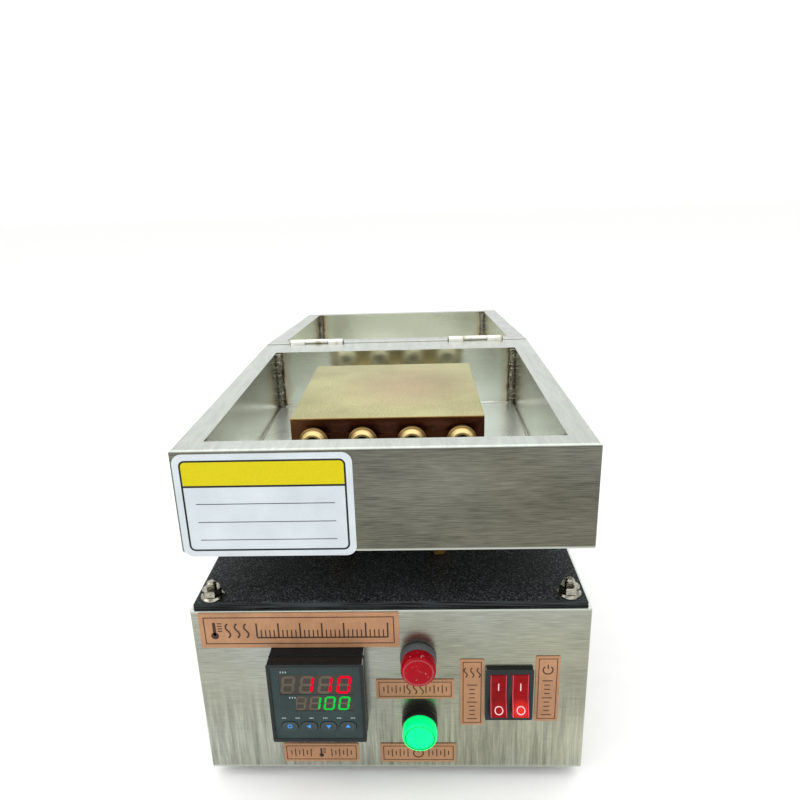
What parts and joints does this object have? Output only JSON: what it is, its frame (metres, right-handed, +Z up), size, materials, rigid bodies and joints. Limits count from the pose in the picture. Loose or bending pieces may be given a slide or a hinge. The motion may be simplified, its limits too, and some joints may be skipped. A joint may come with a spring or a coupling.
{
  "type": "dry block heater",
  "caption": "Bench block heater: folded steel cabinet with temperature controller, lamps and rocker switches, and an insulated chamber with a brass block of horizontal wells under a hinged lid.",
  "frame": {"origin": "on the bench plane, under the middle of the cabinet", "axes": "+X to the user's right, +Y towards the back, +Z up; the controls face -Y"},
  "size_m": [0.2, 0.4234, 0.1969],
  "materials": {
    "cabinet_steel": "brushed stainless sheet",
    "plain_steel": "satin stainless sheet",
    "chamber_steel": "brushed stainless sheet, folded and welded",
    "lid_steel": "brushed stainless sheet, folded and welded",
    "liner_steel": "smooth rolled stainless sheet",
    "weld_bead": "heat-tinted weld",
    "hinge_steel": "rolled stainless, heat-tinted at the welds",
    "fastener_steel": "plated",
    "board_black": "pressed fibre board, matt black",
    "foot_rubber": "matt",
    "pillar_brass": "turned",
    "block_brass": "matt, heat-toned",
    "bush_brass": "turned",
    "heater_aluminium": "milled",
    "heater_sheath": "dull",
    "glass_wool": "needled wool",
    "lead_sleeve": "braided glass sleeve",
    "meter_case": "moulded, black",
    "meter_face": "printed film, slate",
    "meter_window": "smoked",
    "meter_key": "domed film, grey",
    "circuit_board": "lacquered",
    "red_lens": "clear red, unlit",
    "green_lens": "clear green, lit",
    "lamp_ring_grey": "moulded",
    "lamp_ring_black": "moulded",
    "switch_black": "moulded",
    "rocker_red": "clear red",
    "rocker_red_lit": "clear red, lit from behind",
    "copper_label": "printed laminate, copper tone",
    "sticker_film": "printed film",
    "inlet_plastic": "moulded",
    "contact_brass": "stamped",
    "relay_plastic": "moulded",
    "strip_plastic": "moulded",
    "wire_red": "silicone sheath"
  },
  "bodies": {
    "cabinet": {"cabinet_shell": "cabinet_steel", "bottom_plate": "plain_steel", "rubber_feet": "foot_rubber", "foot_screws": "fastener_steel", "m3_screws": "fastener_steel", "insulation_board": "board_black", "board_studs": "fastener_steel", "stud_flange_nuts": "fastener_steel", "stud_lower_nuts": "fastener_steel", "chamber_pillars": "pillar_brass", "pillar_screws": "fastener_steel", "wire_conduit": "plain_steel", "chamber_shell": "chamber_steel", "chamber_floor": "liner_steel", "chamber_base": "plain_steel", "chamber_insulation": "glass_wool", "chamber_weld_beads": "weld_bead", "heating_block": "block_brass", "front_bushes": "bush_brass", "rear_bushes": "bush_brass", "heater_plate": "heater_aluminium", "cartridge_heaters": "heater_sheath", "temperature_probe": "heater_sheath", "block_bolts": "fastener_steel", "heater_leads": "lead_sleeve", "chamber_hinge_leaves": "hinge_steel", "hinge_pins": "fastener_steel", "controller_case": "meter_case", "controller_face": "meter_face", "controller_windows": "meter_window", "display_board": "circuit_board", "controller_clip": "inlet_plastic", "heating_lamp_body": "lamp_ring_grey", "heating_lamp_lens": "red_lens", "power_lamp_body": "lamp_ring_black", "power_lamp_lens": "green_lens", "lamp_nuts": "lamp_ring_black", "switch_housing": "switch_black", "switch_terminals": "contact_brass", "title_plate": "copper_label", "control_labels": "copper_label", "chamber_sticker": "sticker_film", "mains_inlet": "inlet_plastic", "inlet_pins": "contact_brass", "solid_state_relay": "relay_plastic", "relay_heat_sink": "heater_aluminium", "terminal_strip": "strip_plastic", "wiring_loom": "wire_red"},
    "lid": {"lid_shell": "lid_steel", "lid_liner": "liner_steel", "lid_insulation": "glass_wool", "lid_weld_beads": "weld_bead", "lid_hinge_leaves": "hinge_steel"},
    "mode_key": {"mode_key": "meter_key"},
    "shift_key": {"shift_key": "meter_key"},
    "down_key": {"down_key": "meter_key"},
    "up_key": {"up_key": "meter_key"},
    "heating_rocker": {"heating_rocker": "rocker_red"},
    "power_rocker": {"power_rocker": "rocker_red_lit"}
  },
  "joints": [
    {"name": "lid_hinge", "type": "hinge", "parent": "cabinet", "child": "lid", "pos_m": [0, 0.10925, 0.195], "axis": [1, 0, 0], "range_deg": [0, 184.7]},
    {"name": "heating_rocker_pivot", "type": "hinge", "parent": "cabinet", "child": "heating_rocker", "pos_m": [0.0546, -0.0975, 0.0573], "axis": [1, 0, 0], "range_deg": [0, 24]},
    {"name": "power_rocker_pivot", "type": "hinge", "parent": "cabinet", "child": "power_rocker", "pos_m": [0.0658, -0.0975, 0.0573], "axis": [1, 0, 0], "range_deg": [0, 24]},
    {"name": "mode_key_press", "type": "slide", "parent": "cabinet", "child": "mode_key", "axis": [0, 1, 0], "range_m": [0, 0.0005], "stiffness_N_per_m": 400, "springref_m": -0.0003},
    {"name": "shift_key_press", "type": "slide", "parent": "cabinet", "child": "shift_key", "axis": [0, 1, 0], "range_m": [0, 0.0005], "stiffness_N_per_m": 400, "springref_m": -0.0003},
    {"name": "down_key_press", "type": "slide", "parent": "cabinet", "child": "down_key", "axis": [0, 1, 0], "range_m": [0, 0.0005], "stiffness_N_per_m": 400, "springref_m": -0.0003},
    {"name": "up_key_press", "type": "slide", "parent": "cabinet", "child": "up_key", "axis": [0, 1, 0], "range_m": [0, 0.0005], "stiffness_N_per_m": 400, "springref_m": -0.0003}
  ]
}
